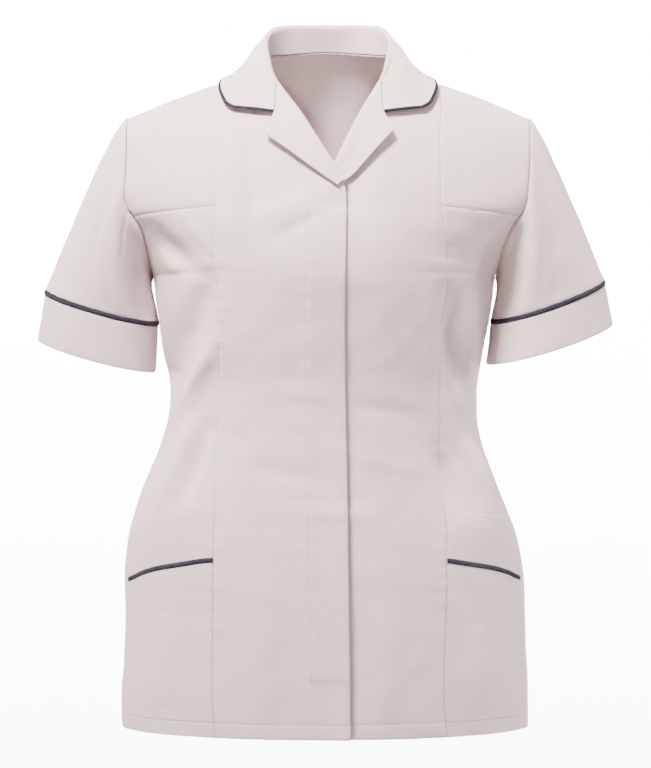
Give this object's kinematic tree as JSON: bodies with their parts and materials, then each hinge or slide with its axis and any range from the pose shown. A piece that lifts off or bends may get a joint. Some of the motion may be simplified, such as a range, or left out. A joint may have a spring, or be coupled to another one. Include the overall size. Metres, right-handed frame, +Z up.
{
  "type": "work tunic",
  "caption": "Short-sleeved work tunic, hollow and filled out as worn, with a notched collar, a lapped front, princess seams, banded cuffs and hip pockets, edged with dark piping.",
  "frame": {"origin": "where the wearer's shoulders carry the tunic: in the middle of the neck opening, about 15 mm below the line between the neck ends of the two shoulder seams", "axes": "+X toward the wearer's left, +Y toward the wearer's back, +Z up toward the collar"},
  "size_m": [0.6044, 0.2684, 0.7431],
  "materials": {
    "cloth": "plain pale pinkish off-white woven polycotton, matt with a soft sheen",
    "piping": "dark navy corded piping, matt"
  },
  "bodies": {
    "root": {"back": "cloth", "front_right": "cloth", "front_left": "cloth", "yoke_right": "cloth", "yoke_left": "cloth", "side_front_right": "cloth", "side_front_left": "cloth", "pocket_band_right": "cloth", "pocket_band_left": "cloth", "pocket_piping_right": "piping", "pocket_piping_left": "piping", "pocket_right": "cloth", "pocket_left": "cloth", "lapel_right": "cloth", "lapel_left": "cloth", "sleeve_right": "cloth", "sleeve_left": "cloth", "cuff_piping_right": "piping", "cuff_piping_left": "piping", "cuff_right": "cloth", "cuff_left": "cloth", "collar": "cloth", "collar_piping": "piping"}
  },
  "joints": []
}
